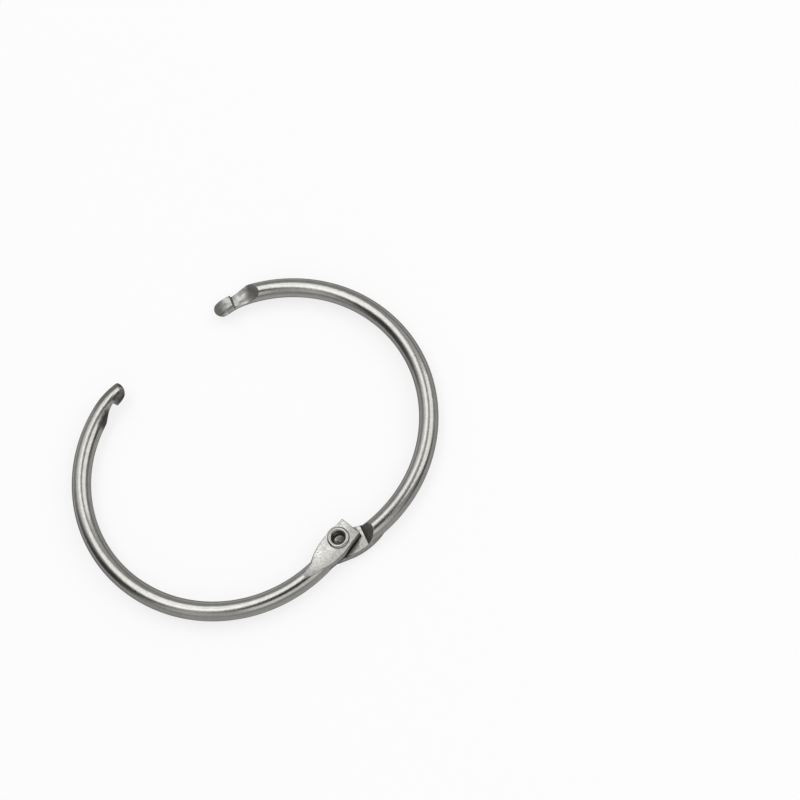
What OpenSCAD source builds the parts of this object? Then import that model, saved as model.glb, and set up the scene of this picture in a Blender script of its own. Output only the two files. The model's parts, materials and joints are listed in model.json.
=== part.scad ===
// Snap ring for loose leaves: two bent wire halves, hinged on a rivet at the bottom
// and hooked into each other at the top. It lies flat, rivet head down and clasp open.
// Each half is drawn about the rivet as it stands with the ring closed, mouth toward +Y,
// and is then swung back by half of the resting opening.

/* [Ring] */
// Inside diameter of the closed ring
inside_d = 38.4; // [30:0.2:60]
// Diameter of the wire
wire_d = 2.8; // [2.5:0.1:3.1]
// How much larger the bend radius of the lower half is than that of the upper half
lower_flatten = 0.55; // [0:0.05:0.7]
// Distance of the rivet inside the middle line of the upper half's wire
rivet_inset = 0.25; // [0:0.05:0.4]
// Angle by which the ring lies open, measured at the rivet from the closed ring
rest_open = 33; // [15:1:90]
// Length of wire behind each tip that is nipped inward
nip_len = 5; // [3:0.5:6]
// Bend radius of the nipped stretch
nip_bend_r = 10; // [9:0.5:14]

/* [Hinge tongues] */
// Thickness of one coined tongue
tongue_t = 1.1; // [0.95:0.05:1.2]
// Width of a tongue at its widest
tongue_w = 4.1; // [3.8:0.1:4.5]
// Width of a tongue at its cut end
tongue_end_w = 3.6; // [3.2:0.1:3.9]
// Distance from the rivet to the cut end of a tongue
tongue_end = 2.45; // [2.2:0.05:2.7]
// Distance from the rivet to where a tongue starts to narrow into the wire
tongue_body = 1; // [0.4:0.1:1.6]
// Radius of the curve that narrows a tongue into the wire
tongue_swell_r = 10.5; // [9:0.5:13]
// Distance from the rivet to where the middle of the upper tongue meets the wire's
upper_root = 6; // [5:0.25:7]
// Distance from the rivet to where the middle of the lower tongue meets the wire's
lower_root = 4; // [3.5:0.25:5]
// Distance of the widest part of the upper tongue from the joint face
upper_belly = 0.25; // [0.1:0.05:0.4]
// Distance of the widest part of the lower tongue from the joint face
lower_belly = 0.8; // [0.5:0.05:0.9]
// How far the rivet hole is punched from the middle of the upper tongue
upper_hole_shift = 0.25; // [0:0.05:0.4]
// How far the rivet hole is punched from the middle of the lower tongue
lower_hole_shift = 0.97; // [0.6:0.01:1.1]
// Width of the metal round the rivet hole
eye_d = 3.5; // [3.4:0.05:4]
// Radius about the rivet that the corners of a tongue are trimmed to
swing_r = 3.2; // [3:0.05:3.3]
// Distance from the rivet to the shoulder that the other tongue swings past
shoulder = 3.45; // [3.35:0.05:4]
// Slope of the shoulder
shoulder_slope = 42; // [38:1:60]
// Distance from the rivet at which the outer flat of a tongue starts to curve up
flat_start = 4; // [3.6:0.1:4.6]
// Distance from the rivet at which the outer flat runs out on top of the wire
flat_end = 7.2; // [6.6:0.1:8]
// Play between the two tongues, and between a tongue and the rolled end of the rivet
hinge_play = 0.03; // [0.02:0.01:0.06]

/* [Rivet] */
// Diameter of the rivet shank
shank_d = 2.1; // [1.9:0.05:2.3]
// Clearance round the shank in both tongues, on the radius
shank_clearance = 0.05; // [0.03:0.01:0.08]
// Diameter of the domed head
head_d = 3.6; // [3.2:0.1:4]
// Height of the domed head
head_h = 0.9; // [0.7:0.05:1.2]
// Height of the straight rim under the dome
head_rim = 0.15; // [0.1:0.05:0.3]
// Diameter of the rolled end
roll_d = 3.2; // [2.9:0.05:3.4]
// Diameter of the mouth of the hollow in the rolled end
roll_mouth_d = 1.9; // [1.7:0.05:2.1]
// Diameter of the hollow below its mouth
hollow_d = 1.5; // [1.1:0.05:1.6]
// Depth of the hollow below the top of the rolled end
hollow_depth = 1.7; // [1.2:0.1:2]

/* [Clasp] */
// Distance from the middle of the mouth to the catch, toward the lower half
lap_shift = 0.95; // [0:0.05:1.5]
// Distance from the catch to the tip of a hook
hook_len = 3.05; // [2.8:0.05:3.4]
// Slant of the lap across the wire, downward to the outside of the ring
lap_slant = 27.5; // [20:0.5:35]
// Distance of the middle of the lap below the middle of the wire
lap_drop = 0.12; // [0:0.02:0.2]
// Height of the catch at the inside of the ring
catch_in = 0.95; // [0.7:0.05:1.1]
// Height of the catch at the outside of the ring
catch_out = 0.3; // [0.25:0.05:0.5]
// Length of the straight floor beside the catch
hook_floor = 0.55; // [0.45:0.05:0.7]
// Length of the straight face under the nose of the upper hook
upper_nose_floor = 0.2; // [0.15:0.05:0.3]
// Radius of the scoop from a hook's floor out to the full wire
scoop_r = 3.4; // [3.1:0.1:4]
// Angle by which the scoops run slanting across the wire
scoop_skew = 25; // [0:1:28]
// Gap between the hooked halves
hook_gap = 0.08; // [0.06:0.01:0.12]
// Radius of the fillet at the foot of the catch
catch_fillet = 0.18; // [0.1:0.01:0.25]
// Radius of the rounding of a hook's tip
tip_r = 1.3; // [0.9:0.05:1.4]
// Angle at which the rounding of a tip meets the side of the wire
tip_break = 15; // [10:1:25]

/* [Hidden] */
$fn = 128;

wire_r = wire_d / 2;
upper_r = inside_d / 2 + wire_r;
lower_r = upper_r + lower_flatten;
lower_inset = rivet_inset + 2 * lower_flatten;
barrel_r = tongue_w / 2;
barrel_reach = tongue_body + sqrt(tongue_swell_r * (tongue_w - wire_r));
hole_r = shank_d / 2 + shank_clearance;
reach = 2 * wire_d;

// The floor of the joint lies this far from the middle plane of the wire.
joint_z = hinge_play / 2;
roll_z = tongue_t + hinge_play;
roll_r = (roll_d - roll_mouth_d) / 4;
roll_mid_r = (roll_d + roll_mouth_d) / 4;
roll_top = roll_z + roll_r;

// Angle along the upper half from the middle of the mouth to the catch
lap_turn = lap_shift / upper_r * 180 / PI;
nip_turn = nip_len / nip_bend_r * 180 / PI;
upper_tip = lap_shift + hook_len;
lower_tip = hook_len - lap_shift;

// The two faces of a catch slope apart across the wire, from a line past its outer side.
hook_slope = atan((catch_in - catch_out) / 2 / wire_d);
slope_axis = wire_r + catch_out / 2 / tan(hook_slope);

// Middles of the two bends with the ring lying open, and the outline they give. The
// highest point is on the nipped stretch of the upper half, at or before its tip.
swing = rest_open / 2;
upper_mid = (upper_r - rivet_inset) * [-sin(swing), cos(swing)];
lower_mid = (lower_r - lower_inset) * [sin(swing), cos(swing)];
to_nip = swing - nip_start(upper_r, upper_tip);
to_tip = max(to_nip - nip_turn * (1 - tip_r / nip_len), 0);
x_low = upper_mid.x - upper_r - wire_r;
x_high = lower_mid.x + lower_r + wire_r;
y_low = lower_mid.y - lower_r - wire_r;
y_high = upper_mid.y + (upper_r - nip_bend_r) * cos(to_nip) + (nip_bend_r + wire_r) * cos(to_tip);
base = [-(x_low + x_high) / 2, -(y_low + y_high) / 2, tongue_t + head_h];

// Angle past the middle of the mouth at which the nipped stretch of a half begins
function nip_start(bend_r, past_mouth) = (past_mouth - nip_len) / bend_r * 180 / PI;

// Puts the clasp's own frame at the catch: X along the wire, Z square to the lap.
module at_lap()
    translate([upper_r * sin(lap_turn), upper_r * (1 + cos(lap_turn)) - rivet_inset, 0])
        rotate([-lap_slant, 0, -lap_turn])
            translate([0, 0, -lap_drop])
                children();

// Tilts a face of the clasp about the line past the outer side of the wire.
module sloped(slope)
    translate([0, slope_axis, 0])
        rotate([slope, 0, 0])
            translate([0, -slope_axis, 0])
                children();

// Runs a side view, drawn in X and Z, straight across the wire.
module across_wire()
    rotate([90, 0, 0])
        linear_extrude(height = 2 * reach, center = true)
            children();

// Rounding of an inside corner that lies at the origin, the room being at +X and +Y
module corner_fill(r)
    difference() {
        square(r);
        translate([r, r])
            circle(r = r);
    }

// Room that one hook leaves for the other, from its catch back to the full wire
module hook_room(skew) {
    gap = hook_gap / 2;
    sloped(-hook_slope)
        difference() {
            rotate([0, 0, skew])
                across_wire() {
                    translate([-hook_floor, -reach])
                        square([reach, reach + gap]);
                    intersection() {
                        translate([-hook_floor, gap - scoop_r])
                            circle(r = scoop_r);
                        translate([-hook_floor - scoop_r, -reach])
                            square([scoop_r, 2 * reach]);
                    }
                }
            across_wire() {
                translate([gap, -2 * reach])
                    square([2 * reach, 3 * reach]);
                translate([gap, gap])
                    rotate(180)
                        corner_fill(catch_fillet);
            }
        }
}

// What is shaved off under one hook, from its catch out to its tip
module hook_shave(skew, nose_floor) {
    gap = hook_gap / 2;
    sloped(hook_slope)
        difference() {
            across_wire()
                translate([0, -reach])
                    square([reach, 2 * reach]);
            rotate([0, 0, skew])
                across_wire() {
                    translate([-reach, gap])
                        square([nose_floor + reach, reach]);
                    intersection() {
                        translate([nose_floor, scoop_r - gap])
                            circle(r = scoop_r - hook_gap);
                        translate([nose_floor, 0])
                            square([scoop_r, reach]);
                    }
                }
        }
}

// What is taken off beyond the end of the wire and round its rim. The wire comes up
// along +Z; the rounding meets its sides at a slight angle.
module tip_waste() {
    rim_mid = wire_r - tip_r * cos(tip_break);
    rotate_extrude()
        difference() {
            translate([0, -tip_r])
                square(wire_d);
            translate([0, -tip_r])
                square([rim_mid, tip_r]);
            intersection() {
                translate([rim_mid, -tip_r])
                    circle(r = tip_r);
                translate([0, -tip_r])
                    square([wire_d, tip_r]);
            }
        }
}

// Bent wire of the half at -X, from past the rivet round to its tip past the mouth
module bent_wire(bend_r, inset, past_mouth) {
    hinge_turn = (tongue_end + wire_r) / bend_r * 180 / PI;
    nip_at = nip_start(bend_r, past_mouth);
    over_turn = wire_r / nip_bend_r * 180 / PI;
    translate([0, bend_r - inset, 0])
        rotate([0, 0, 90 - nip_at])
            difference() {
                union() {
                    rotate_extrude(angle = 180 + nip_at + hinge_turn)
                        translate([bend_r, 0])
                            circle(r = wire_r);
                    translate([bend_r - nip_bend_r, 0, 0])
                        rotate_extrude(angle = -nip_turn - over_turn)
                            translate([nip_bend_r, 0])
                                circle(r = wire_r);
                }
                translate([bend_r - nip_bend_r, 0, 0])
                    rotate([0, 0, -nip_turn])
                        translate([nip_bend_r, 0, 0])
                            rotate([90, 0, 0])
                                tip_waste();
            }
}

// Swollen body of a tongue, turned about its own middle line, which lies along +X
module tongue_barrel(belly)
    intersection() {
        translate([0, 0, belly])
            rotate([0, 90, 0])
                rotate_extrude() {
                    intersection() {
                        translate([barrel_r - tongue_swell_r, -tongue_body])
                            circle(r = tongue_swell_r);
                        translate([0, -barrel_reach])
                            square([barrel_r, barrel_reach - tongue_body]);
                    }
                    polygon([
                        [0, -tongue_body],
                        [barrel_r, -tongue_body],
                        [tongue_end_w / 2, tongue_end],
                        [0, tongue_end],
                    ]);
                }
        cube([3 * barrel_reach, 2 * tongue_w, wire_d], center = true);
    }

// What the coining dies take off round a tongue: the joint side with its shoulder, the
// outer side with its long rise, and all past the cut end
module tongue_waste() {
    ramp = (reach + joint_z) / tan(shoulder_slope);
    rise = wire_r - tongue_t;
    rise_r = (pow(flat_end - flat_start, 2) + pow(rise, 2)) / (2 * rise);
    rotate([90, 0, 0])
        linear_extrude(height = 2 * reach, center = true) {
            polygon([
                [-shoulder, joint_z],
                [-shoulder - ramp, -reach],
                [reach, -reach],
                [reach, joint_z],
            ]);
            translate([-flat_start, tongue_t])
                square([flat_start + reach, reach]);
            intersection() {
                translate([-flat_start, tongue_t + rise_r])
                    circle(r = rise_r);
                translate([-flat_end - wire_r, 0])
                    square([flat_end + wire_r - flat_start, reach]);
            }
        }
    linear_extrude(height = 2 * reach, center = true)
        difference() {
            translate([0, -reach])
                square([reach, 2 * reach]);
            intersection() {
                circle(r = swing_r);
                translate([0, -reach])
                    square([tongue_end, 2 * reach]);
            }
        }
}

// One half at -X with its tongue on top, before the clasp is cut. The tongue lies on the
// straight line from beside its rivet hole to the point where it joins the bent wire.
module half_blank(bend_r, inset, hole_shift, root, belly, past_mouth) {
    root_y = bend_r - inset - sqrt(pow(bend_r, 2) - pow(root, 2));
    tongue_turn = atan((root_y + hole_shift) / root);
    difference() {
        union() {
            bent_wire(bend_r, inset, past_mouth);
            translate([0, -hole_shift, 0])
                rotate([0, 0, -tongue_turn])
                    tongue_barrel(belly);
            cylinder(h = tongue_t, d = eye_d);
        }
        rotate([0, 0, -tongue_turn])
            tongue_waste();
        cylinder(h = 2 * reach, r = hole_r, center = true);
    }
}

// Half at -X: tongue on top at the rivet, hook over the other one at the mouth
module upper_half()
    color("silver")
        translate(base)
            rotate([0, 0, swing])
                difference() {
                    half_blank(upper_r, rivet_inset, upper_hole_shift, upper_root,
                        upper_belly, upper_tip);
                    at_lap() {
                        hook_room(scoop_skew);
                        hook_shave(0, upper_nose_floor);
                    }
                }

// Half at +X: the same blank turned over, its hook facing up and outward
module lower_half()
    color("silver")
        translate(base)
            rotate([0, 0, -swing])
                difference() {
                    rotate([0, 180, 0])
                        half_blank(lower_r, lower_inset, lower_hole_shift, lower_root,
                            lower_belly, lower_tip);
                    at_lap()
                        rotate([0, 180, 0]) {
                            hook_room(-scoop_skew);
                            hook_shave(-scoop_skew, hook_floor);
                        }
                }

// Rivet: domed head below, hollow end rolled outward over the upper tongue
module rivet() {
    dome_h = head_h - head_rim;
    dome_r = (pow(head_d / 2, 2) + pow(dome_h, 2)) / (2 * dome_h);
    color("gainsboro")
        translate(base)
            rotate_extrude()
                difference() {
                    union() {
                        translate([0, -tongue_t])
                            square([shank_d / 2, tongue_t + roll_z]);
                        translate([0, -tongue_t - head_rim])
                            square([head_d / 2, head_rim]);
                        intersection() {
                            translate([0, dome_r - tongue_t - head_h])
                                circle(r = dome_r);
                            translate([0, -tongue_t - head_h])
                                square([head_d / 2, dome_h]);
                        }
                        intersection() {
                            translate([roll_mid_r, roll_z])
                                circle(r = roll_r);
                            translate([0, roll_z])
                                square([roll_d, roll_r]);
                        }
                    }
                    polygon([
                        [0, roll_top - hollow_depth - hollow_d / 4],
                        [hollow_d / 2, roll_top - hollow_depth],
                        [hollow_d / 2, tongue_t / 2],
                        [roll_mouth_d / 2, roll_z],
                        [roll_mouth_d / 2, roll_top],
                        [0, roll_top],
                    ]);
                }
}

upper_half();
lower_half();
rivet();
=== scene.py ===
import json
import math
import bpy
from mathutils import Matrix, Vector

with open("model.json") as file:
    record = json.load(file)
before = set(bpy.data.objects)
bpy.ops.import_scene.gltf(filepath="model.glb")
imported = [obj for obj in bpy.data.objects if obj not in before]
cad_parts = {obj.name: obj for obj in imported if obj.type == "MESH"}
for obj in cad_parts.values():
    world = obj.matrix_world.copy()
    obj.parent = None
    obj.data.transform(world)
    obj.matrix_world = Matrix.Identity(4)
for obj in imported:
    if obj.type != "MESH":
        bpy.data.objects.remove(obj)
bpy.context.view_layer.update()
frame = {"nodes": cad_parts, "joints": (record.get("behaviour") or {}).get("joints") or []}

# Which way along X a half bows out from the rivet
UPPER, LOWER = -1, 1

# Sizes of the ring in millimetres, and angles in degrees, for patterns that follow the metal
PIVOT = [1000 * v for v in frame["joints"][0]["pos_m"]]  # place of the rivet
WIRE_R = 1.4
UPPER_BEND_R = 20.6
LOWER_FLATTEN = 0.55  # by how much the bend of the lower half is the larger
RIVET_INSET = 0.25  # from the middle of the upper half's wire inward to the rivet
HALF_SWING = 16.5  # half of the angle by which the ring lies open
NIP_LEN = 5.0  # length of the tighter bend behind a tip
NIP_R = 10.0
LAP_SHIFT = 0.95  # from the middle of the mouth to the catch
HOOK_LEN = 3.05  # from the catch to a tip
FLAT_END = 7.2  # from the rivet to where the outer flat of a tongue runs out
COINED_R = 3.5  # round the rivet, where the whole of a tongue is coined
MID_HALF = 21.0  # from the rivet; shaped metal nearer than this is tongue, and farther is hook

# Tones of the plate and of the wear on it, and of the shade and highlights painted on it
DRAWN_DULL, DRAWN_BRIGHT = (0.315, 0.309, 0.293), (0.385, 0.378, 0.36)
HAIRLINE = (0.16, 0.153, 0.14)
# Painted shade down the flanks of the wire
FLANK_SHADE = (0.1, 0.097, 0.09)
COINED_DULL, COINED_BRIGHT = (0.29, 0.284, 0.268), (0.53, 0.52, 0.497)
SPECK = (0.15, 0.146, 0.138)
# Painted shade toward the outside of a tongue
COINED_OUTSIDE_SHADE = (0.19, 0.185, 0.175)
DIE_MARK = (0.16, 0.156, 0.147)
# Painted shade along the edges of a tongue
TONGUE_EDGE_SHADE = (0.1, 0.096, 0.09)
# Painted shade in the joint between the tongues
JOINT_SHADE = (0.06, 0.057, 0.052)
# Tones of each hook, from its plain metal to where it is worn beside the catch; the upper hook's
# are set darker as painted shade, and the lower hook's bright tone is a painted highlight
HOOK_WEAR_AND_PAINTED_LIGHT = {
    UPPER: ((0.1, 0.097, 0.09), (0.24, 0.235, 0.223)),
    LOWER: ((0.23, 0.224, 0.21), (0.95, 0.94, 0.905)),
}
# Painted shade along the edges of a hook and at the lower hook's step
HOOK_EDGE_SHADE = (0.05, 0.048, 0.044)
# Painted shade in the upper half's scoop and inside its nose, mottled between two tones
SCOOP_SHADE_DARK, SCOOP_SHADE_PALE = (0.075, 0.072, 0.067), (0.17, 0.165, 0.155)
# Painted shade down the outer side of the upper half's pinched tip
PINCHED_SHADE = (0.16, 0.155, 0.146)
RIVET_DULL, RIVET_BRIGHT = (0.31, 0.304, 0.288), (0.42, 0.412, 0.392)

# Share of the plate's reflection that is left where it is seen at a low angle
RIM_TINT = (0.38, 0.38, 0.38, 1)

# Lengths in metres, for rounded edges and fine relief that are shaded and not modelled
HALF_ROUNDING = 0.00014
RIVET_ROUNDING = 0.00008
EDGE_REACH = 0.00024  # how far the painted shade along an edge reaches
RELIEF_DEPTH = 0.00002

# Share of plain white in the floor, as the camera sees it and as metal or glass shows it
WHITE_SEEN = 0.76
WHITE_MIRRORED = 0.5

# The room's even light, and the soft patches in it: azimuth, tilt from straight up and
# reach in degrees, and the share of the light that is taken away, or added if below 0.
ROOM_LIGHT = 0.53
ROOM_PATCHES = (
    (-108, 16, 27, 0.88),
    (152, 76, 31, 0.75),
    (160, 50, 25, 0.8),
    (-54, 84, 30, 0.68),
    (15, 90, 36, 0.3),
    (97, 28, 38, -0.5),
    (185, 20, 26, -0.6),
    (110, 5, 15, -0.8),
    (225, 66, 40, -0.35),
    (106, 42, 20, -0.9),
    (-78, 72, 25, -0.8),
    (12, 55, 20, -0.7),
    (193, 54, 20, -0.5),
)
SOFTBOX_DISTANCE = 0.8


class Socket:
    """One output in a node tree, so that shader maths reads as plain expressions."""

    def __init__(self, tree, out=None):
        self.tree = tree
        self.out = out

    def node(self, kind, inputs=None, output=0, **settings):
        """Adds a node, with its settings first and then the values or links of its sockets."""
        made = self.tree.nodes.new(kind)
        for name, value in settings.items():
            setattr(made, name, value)
        for name, value in (inputs or {}).items():
            socket = made.inputs[name]
            if isinstance(value, Socket):
                self.tree.links.new(value.out, socket)
            elif socket.type == "RGBA":
                socket.default_value = (*value, 1)
            else:
                socket.default_value = value
        return Socket(self.tree, made.outputs[output])

    def maths(self, operation, *others):
        return self.node("ShaderNodeMath", dict(enumerate((self, *others))), operation=operation)

    def __add__(self, other):
        return self.maths("ADD", other)

    __radd__ = __add__

    def __sub__(self, other):
        return self.maths("SUBTRACT", other)

    def __rsub__(self, other):
        return self.node("ShaderNodeMath", {0: other, 1: self}, operation="SUBTRACT")

    def __mul__(self, other):
        return self.maths("MULTIPLY", other)

    __rmul__ = __mul__

    def __abs__(self):
        return self.maths("ABSOLUTE")

    def root(self):
        return self.maths("SQRT")

    def smaller(self, other):
        return self.maths("MINIMUM", other)

    def larger(self, other):
        return self.maths("MAXIMUM", other)

    def fade(self, low, high):
        """0 below low, 1 above high and smooth between, or the reverse if low is above high."""
        if low > high:
            return 1 - self.fade(high, low)
        return self.node("ShaderNodeMapRange", {"Value": self, "From Min": low, "From Max": high},
                         interpolation_type="SMOOTHSTEP")

    def blend(self, first, second):
        """Mixes two colours, this being the share of the second."""
        return self.node("ShaderNodeMix", {0: self, 6: first, 7: second}, output=2,
                         data_type="RGBA")

    def split(self):
        return [self.node("ShaderNodeSeparateXYZ", {"Vector": self}, output=i) for i in range(3)]

    def vector(self, x, y, z):
        return self.node("ShaderNodeCombineXYZ", {"X": x, "Y": y, "Z": z})

    def dot(self, other):
        return self.node("ShaderNodeVectorMath", {0: self, 1: other}, output=1,
                         operation="DOT_PRODUCT")

    def noise(self, scale, detail=2.0, roughness=0.5):
        """Noise over the place that this gives."""
        return self.node("ShaderNodeTexNoise", {"Vector": self, "Scale": scale,
                                                "Detail": detail, "Roughness": roughness})


def new_material(name):
    """A material, its shader, and a bare socket that its nodes are made from."""
    material = bpy.data.materials.new(name)
    material.use_nodes = True
    return material, material.node_tree.nodes["Principled BSDF"], Socket(material.node_tree)


def new_plate(name):
    """A metal material, its shader, and the place on the piece in millimetres."""
    material, shader, start = new_material(name)
    shader.inputs["Metallic"].default_value = 1
    shader.inputs["Specular Tint"].default_value = RIM_TINT
    place = start.node("ShaderNodeTexCoord", output="Object")
    place = start.node("ShaderNodeVectorMath", {0: place, 1: (1000, 1000, 1000)},
                       operation="MULTIPLY")
    return material, shader, place


def link(node, name, value):
    node.id_data.links.new(value.out, node.inputs[name])


def link_relief(shader, relief, rounding, samples):
    """Puts fine relief on a surface whose edges are rounded off."""
    rounded = relief.node("ShaderNodeBevel", {"Radius": rounding}, samples=samples)
    link(shader, "Normal", relief.node(
        "ShaderNodeBump", {"Strength": 0.5, "Distance": RELIEF_DEPTH, "Height": relief,
                           "Normal": rounded}))


def turned(point, degrees):
    a = math.radians(degrees)
    x, y = point
    return x * math.cos(a) - y * math.sin(a), x * math.sin(a) + y * math.cos(a)


def bend_of(side):
    """Middle and radius of the main bend of a half, with the ring lying open."""
    flatten = LOWER_FLATTEN if side == LOWER else 0
    bend_r = UPPER_BEND_R + flatten
    x, y = turned((0, bend_r - RIVET_INSET - 2 * flatten), -side * HALF_SWING)
    return x + PIVOT[0], y + PIVOT[1], bend_r


def nip_of(side):
    """Middle and radius of the tighter bend behind the tip of a half."""
    x, y, bend_r = bend_of(side)
    past_mouth = HOOK_LEN - side * LAP_SHIFT
    nip_at = math.degrees((past_mouth - NIP_LEN) / bend_r)
    dx, dy = turned((0, bend_r - NIP_R), side * (nip_at - HALF_SWING))
    return x + dx, y + dy, NIP_R


def catch_of(side):
    """Place of the catch of a half, with the ring lying open."""
    x, y = turned((LAP_SHIFT, 2 * UPPER_BEND_R - RIVET_INSET), -side * HALF_SWING)
    return x + PIVOT[0], y + PIVOT[1]


def length_to(point, bend, side):
    """Length along a bend at which a point lies."""
    mid_x, mid_y, bend_r = bend
    return math.atan2((point[1] - mid_y) * side, (point[0] - mid_x) * side) * bend_r


def along_wire(place, bend, side):
    """Place on a bend as length along it, distance across it and height."""
    mid_x, mid_y, bend_r = bend
    x, y, z = place.split()
    x, y = (x - mid_x) * side, (y - mid_y) * side
    return y.maths("ARCTAN2", x) * bend_r, (x * x + y * y).root() - bend_r, z - PIVOT[2]


def off_skin(across, height):
    """Distance from the round skin that the wire was drawn with."""
    return abs((across * across + height * height).root() - WIRE_R)


def about_rivet(place):
    """Place as x and y from the rivet's axis and height, with the distance from that axis."""
    x, y, z = place.split()
    x, y = x - PIVOT[0], y - PIVOT[1]
    return x, y, z, (x * x + y * y).root()


class HalfPlate:
    """Semi-bright nickel plate of one half: its drawn wire, coined tongue and cut hook."""

    def __init__(self, place, side):
        self.place, self.side = place, side
        bend = bend_of(side)
        self.length, self.across, self.height = along_wire(place, bend, side)
        self.nose_across = along_wire(place, nip_of(side), side)[1]
        self.past_catch = side * (self.length - length_to(catch_of(side), bend, side))
        self.from_rivet = about_rivet(place)[3]
        self.skin = place.node("ShaderNodeNewGeometry", output="Normal")
        self.skin_up = self.skin.split()[2]

        self.grain = place.noise(9.0, 3)
        self.cloud = place.noise(0.9, 3, 0.6)
        self.dents = place.noise(2.4, 4, 0.6)
        self.scuffs = place.noise(1.1, 3, 0.65)
        self.lines = self.drawn_out(0.12, 9, 3)
        self.strokes = self.drawn_out(1.1, 5, 3, 0.6)
        self.patches = self.drawn_out(0.7, 1.1, 1)

        # What the dies and cutters have shaped; all the rest is wire as it was drawn
        self.flat = (self.skin_up * -side).fade(0.9, 0.965) \
            * self.from_rivet.fade(FLAT_END + 0.5, FLAT_END)
        off_wire = off_skin(self.across, self.height) \
            .smaller(off_skin(self.nose_across, self.height))
        self.shaped = off_wire.fade(0.015, 0.05).larger(self.flat) \
            .larger(self.from_rivet.fade(COINED_R + 0.6, COINED_R))
        self.tongue = self.shaped * self.from_rivet.fade(MID_HALF + 1, MID_HALF - 1)
        self.hook = self.shaped * self.from_rivet.fade(MID_HALF - 1, MID_HALF + 1)

        wave = (self.length * 27 + self.dents * 5).maths("SINE")
        self.die_marks = wave.fade(-0.4, 0.7) * self.from_rivet.fade(5.0, 6.0) * self.flat

        # Sharp edges show where a broad bevel turns the normal, and are painted dark there as
        # shade, unevenly along them
        broad = place.node("ShaderNodeBevel", {"Radius": EDGE_REACH}, samples=8)
        self.edge = (1 - broad.dot(self.skin)).fade(0.002, 0.06) \
            * (0.45 + 0.55 * self.grain.fade(0.35, 0.6))
        if side == UPPER:
            self.dull, self.pinch = self.nose_dull_and_shade()

    def drawn_out(self, along, around, detail, roughness=0.5):
        """Noise with one scale along the wire and another across it."""
        return self.place.vector(self.length * along, self.across * around,
                                 self.height * around).noise(1.0, detail, roughness)

    def nose_dull_and_shade(self):
        """Where the upper half is duller and painted with shade, in its scoop and inside its
        nose, and its pinched tip.
        """
        past_catch = self.past_catch
        inward = self.dents * -0.3 - self.nose_across
        nose = inward.fade(0.0, 0.4) * past_catch.fade(-0.1, 0.4)
        scoop = inward.fade(0.3, 0.62) * past_catch.fade(-0.9, -2.0) * past_catch.fade(-5.0, -3.8)
        return nose + scoop, past_catch.fade(-3.5, -0.3)

    def drawn_tone(self):
        """The wire: uneven, with hairlines along it, and with painted shade down its flanks."""
        worn = self.grain * 0.5 + self.cloud * 0.5
        tone = worn.fade(0.3, 0.7).blend(DRAWN_DULL, DRAWN_BRIGHT)
        hairs = self.drawn_out(0.35, 14, 2).fade(0.6, 0.72)
        tone = (hairs * 0.45).blend(tone, HAIRLINE)
        steep = abs(self.skin_up)
        # Painted shade down the flanks
        return (steep.fade(0.75, 0.6) * steep.fade(0.2, 0.36) * 0.36).blend(tone, FLANK_SHADE)

    def joint_shade(self):
        """Painted shade in the joint: under the upper tongue, and round the lower one's hole."""
        if self.side == UPPER:
            return self.height.fade(0.6, 0.25) * self.from_rivet.fade(9, 6) \
                * (0.6 + self.grain * 0.6).smaller(1.0)
        return (self.from_rivet + self.dents * 1.2).fade(3.75, 3.2) * self.height.fade(-0.3, -0.1)

    def tongue_tone(self):
        """The tongue: satin from the dies, mottled, and with painted shade at its outside and
        edges.
        """
        pressed = self.dents * 0.35 + self.grain * 0.4 + self.cloud * 0.25
        tone = pressed.fade(0.42, 0.56).blend(COINED_DULL, COINED_BRIGHT)
        specks = self.place.noise(4.0, 2).fade(0.5, 0.62) \
            * (self.cloud * 0.5 + self.dents * 0.5).fade(0.46, 0.58)
        tone = (specks * 0.7).blend(tone, SPECK)
        # Painted shade toward the outside of the tongue
        shaded_outside = (self.across + self.dents * 2.2).fade(0.5, 2.0)
        tone = (shaded_outside * 0.6).blend(tone, COINED_OUTSIDE_SHADE)
        tone = (self.die_marks * 0.6).blend(tone, DIE_MARK)
        # Painted shade along the edges of the tongue
        tone = (self.edge * 0.85).blend(tone, TONGUE_EDGE_SHADE)
        # Painted shade in the joint
        return (self.joint_shade() * 0.85).blend(tone, JOINT_SHADE)

    def hook_tone(self):
        """The hook: worn beside its catch, with a painted highlight there on the lower hook,
        painted darker on the upper, and painted shade at its edges and the lower step.
        """
        # Where the hook is worn beside its catch; on the lower hook this carries a painted
        # highlight
        beside = self.past_catch + self.scuffs * 1.6 - 0.8
        rubbed_and_lit = beside.fade(-3.0, -1.6) * beside.fade(2.3, 0.8) \
            * (0.6 + 0.4 * self.strokes.fade(0.36, 0.6)) \
            * (0.35 + 0.65 * self.patches.fade(0.36, 0.6))
        # Painted shade at the edges, and at the lower hook's step
        dark = self.edge
        if self.side == LOWER:
            dark = dark.larger(abs(self.past_catch - 0.02).fade(0.21, 0.08))
        return (dark * 0.8).blend(rubbed_and_lit.blend(*HOOK_WEAR_AND_PAINTED_LIGHT[self.side]), HOOK_EDGE_SHADE)

    def tone(self):
        tone = self.tongue.blend(self.drawn_tone(), self.tongue_tone())
        tone = self.hook.blend(tone, self.hook_tone())
        if self.side == UPPER:
            # Painted shade in the scoop and inside the nose
            mottled = self.patches.fade(0.4, 0.65).blend(SCOOP_SHADE_DARK, SCOOP_SHADE_PALE)
            tone = self.dull.blend(tone, mottled)
            # Painted shade down the outer side of the pinched tip
            outer = (self.nose_across + self.dents * 0.5).fade(0.2, 1.0)
            tone = (self.pinch * outer * 0.7).blend(tone, PINCHED_SHADE)
        return tone

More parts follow.
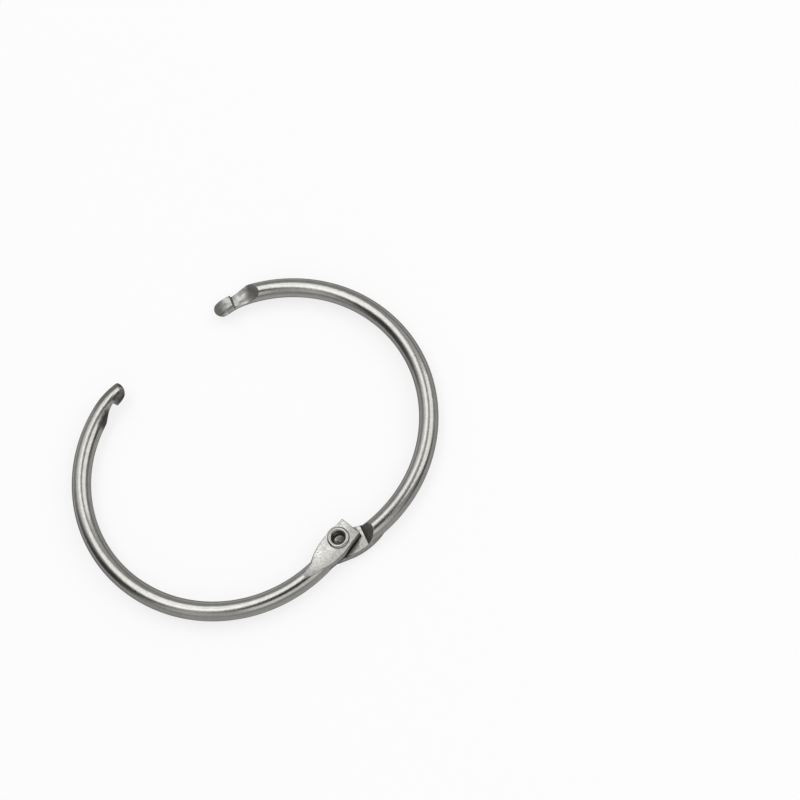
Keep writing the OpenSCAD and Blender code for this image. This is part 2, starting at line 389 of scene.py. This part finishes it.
    def roughness(self):
        drawn = 0.095 + self.lines * 0.08 + self.grain * 0.05
        tongue = 0.24 + self.dents * 0.16
        hook = 0.34 + self.scuffs * 0.2
        rough = drawn * (1 - self.shaped) + tongue * self.tongue + hook * self.hook
        if self.side == UPPER:
            rough = rough + self.dull * 0.25
        return rough

    def relief(self):
        fine_lines = self.drawn_out(0.5, 30, 2)
        drawn = self.lines * 0.35 + fine_lines * 0.25 + self.grain * 0.5 + self.dents * 1.3
        tongue = self.dents * 2.0 + self.grain - self.die_marks * 0.5
        hook = self.patches * 6 + self.scuffs * 1.5 + self.strokes * 1.5 + self.grain * 0.4
        relief = drawn * (1 - self.shaped) + tongue * self.tongue + hook * self.hook
        if self.side == UPPER:
            relief = relief + self.strokes * 2.5 * self.pinch
        return relief


def plated_half(name, side):
    material, shader, place = new_plate(name)
    plate = HalfPlate(place, side)
    link(shader, "Base Color", plate.tone())
    link(shader, "Roughness", plate.roughness())
    link_relief(shader, plate.relief(), HALF_ROUNDING, samples=6)
    return material


def plated_rivet():
    """The rivet's plate, dulled by the roll, with turning lines round its axis."""
    material, shader, place = new_plate("plated_rivet")
    x, y, z, radius = about_rivet(place)
    rings = place.vector(radius * 14, z * 14, y.maths("ARCTAN2", x) * 0.4).noise(1.0, 2)
    grain = place.noise(8.0, 3)
    link(shader, "Base Color", grain.fade(0.3, 0.7).blend(RIVET_DULL, RIVET_BRIGHT))
    link(shader, "Roughness", 0.17 + rings * 0.1 + grain * 0.06)
    link_relief(shader, rings * 0.5 + grain * 0.4, RIVET_ROUNDING, samples=4)
    return material


def dress(node, material):
    mesh = frame["nodes"][node].data
    mesh.materials.clear()
    mesh.materials.append(material)


def pale_floor():
    """Pale paper that looks whiter than it is lit, and still shows a shadow."""
    material, shader, start = new_material("pale_paper")
    shader.inputs["Base Color"].default_value = (0.93, 0.93, 0.93, 1)
    shader.inputs["Roughness"].default_value = 0.9
    shader.inputs["Specular IOR Level"].default_value = 0.1
    whitened = start.node("ShaderNodeLightPath", output="Is Camera Ray") * WHITE_SEEN
    for mirrored in ("Is Glossy Ray", "Is Transmission Ray"):
        whitened = whitened.larger(
            start.node("ShaderNodeLightPath", output=mirrored) * WHITE_MIRRORED)
    lit = Socket(start.tree, shader.outputs[0])
    white = start.node("ShaderNodeEmission", {"Color": (1, 1, 1), "Strength": 1.0})
    mixed = start.node("ShaderNodeMixShader", {0: whitened, 1: lit, 2: white})
    link(start.tree.nodes["Material Output"], "Surface", mixed)
    return material


def lay_floor():
    bpy.ops.object.select_all(action="DESELECT")
    bpy.ops.mesh.primitive_plane_add(size=3)
    floor = bpy.context.object
    floor.name = "floor"
    floor.data.materials.append(pale_floor())


def toward(azimuth, tilt):
    """Direction at an azimuth from +X and a tilt from straight up, in degrees."""
    a, t = math.radians(azimuth), math.radians(tilt)
    return Vector((math.sin(t) * math.cos(a), math.sin(t) * math.sin(a), math.cos(t)))


def softbox(name, azimuth, tilt, heading, length, breadth, radiance):
    """A rectangular lamp that faces the ring, its long side along a heading. Its length and
    breadth are the angles that it fills, seen from the ring."""
    lamp = bpy.data.lights.new(name, "AREA")
    lamp.shape = "RECTANGLE"
    lamp.size = 2 * SOFTBOX_DISTANCE * math.tan(math.radians(length / 2))
    lamp.size_y = 2 * SOFTBOX_DISTANCE * math.tan(math.radians(breadth / 2))
    lamp.energy = radiance * math.pi * lamp.size * lamp.size_y
    holder = bpy.data.objects.new(name, lamp)
    bpy.context.scene.collection.objects.link(holder)
    out = toward(azimuth, tilt)
    side = toward(heading, 90)
    side = (side - out * side.dot(out)).normalized()
    facing = Matrix((side, out.cross(side), out)).transposed().to_4x4()
    holder.matrix_world = Matrix.Translation(out * SOFTBOX_DISTANCE) @ facing


def light_room():
    """A pale room with soft dim and bright patches, and three softboxes in it."""
    world = bpy.data.worlds.new("room")
    bpy.context.scene.world = world
    world.use_nodes = True
    background = world.node_tree.nodes["Background"]
    view = Socket(world.node_tree).node("ShaderNodeTexCoord", output="Generated")
    level = ROOM_LIGHT
    for azimuth, tilt, reach, depth in ROOM_PATCHES:
        near = view.dot(toward(azimuth, tilt)).fade(math.cos(math.radians(reach)), 1)
        level = level * (1 - depth * near)
    background.inputs["Color"].default_value = (1, 1, 1, 1)
    link(background, "Strength", level)
    softbox("key_softbox", 94, 19, heading=37, length=56, breadth=24, radiance=1.53)
    softbox("side_softbox", -22, 44, heading=67, length=42, breadth=38, radiance=1.55)
    softbox("low_softbox", -105, 48, heading=-20, length=38, breadth=30, radiance=0.78)


def set_camera():
    camera = bpy.data.cameras.new("camera")
    camera.lens = 103.5
    camera.sensor_width = 36
    camera.shift_x, camera.shift_y = -0.000625, 0.000625
    camera.clip_start, camera.clip_end = 0.01, 20
    holder = bpy.data.objects.new("camera", camera)
    bpy.context.scene.collection.objects.link(holder)
    holder.location = (-0.026589, -0.120907, 0.309862)
    holder.rotation_euler = [math.radians(a) for a in (20.2712, 7.2751, -41.51)]
    bpy.context.scene.camera = holder


dress("upper_half", plated_half("plated_upper_half", UPPER))
dress("lower_half", plated_half("plated_lower_half", LOWER))
dress("rivet", plated_rivet())
lay_floor()
light_room()
set_camera()
bpy.context.scene.view_settings.view_transform = "Standard"
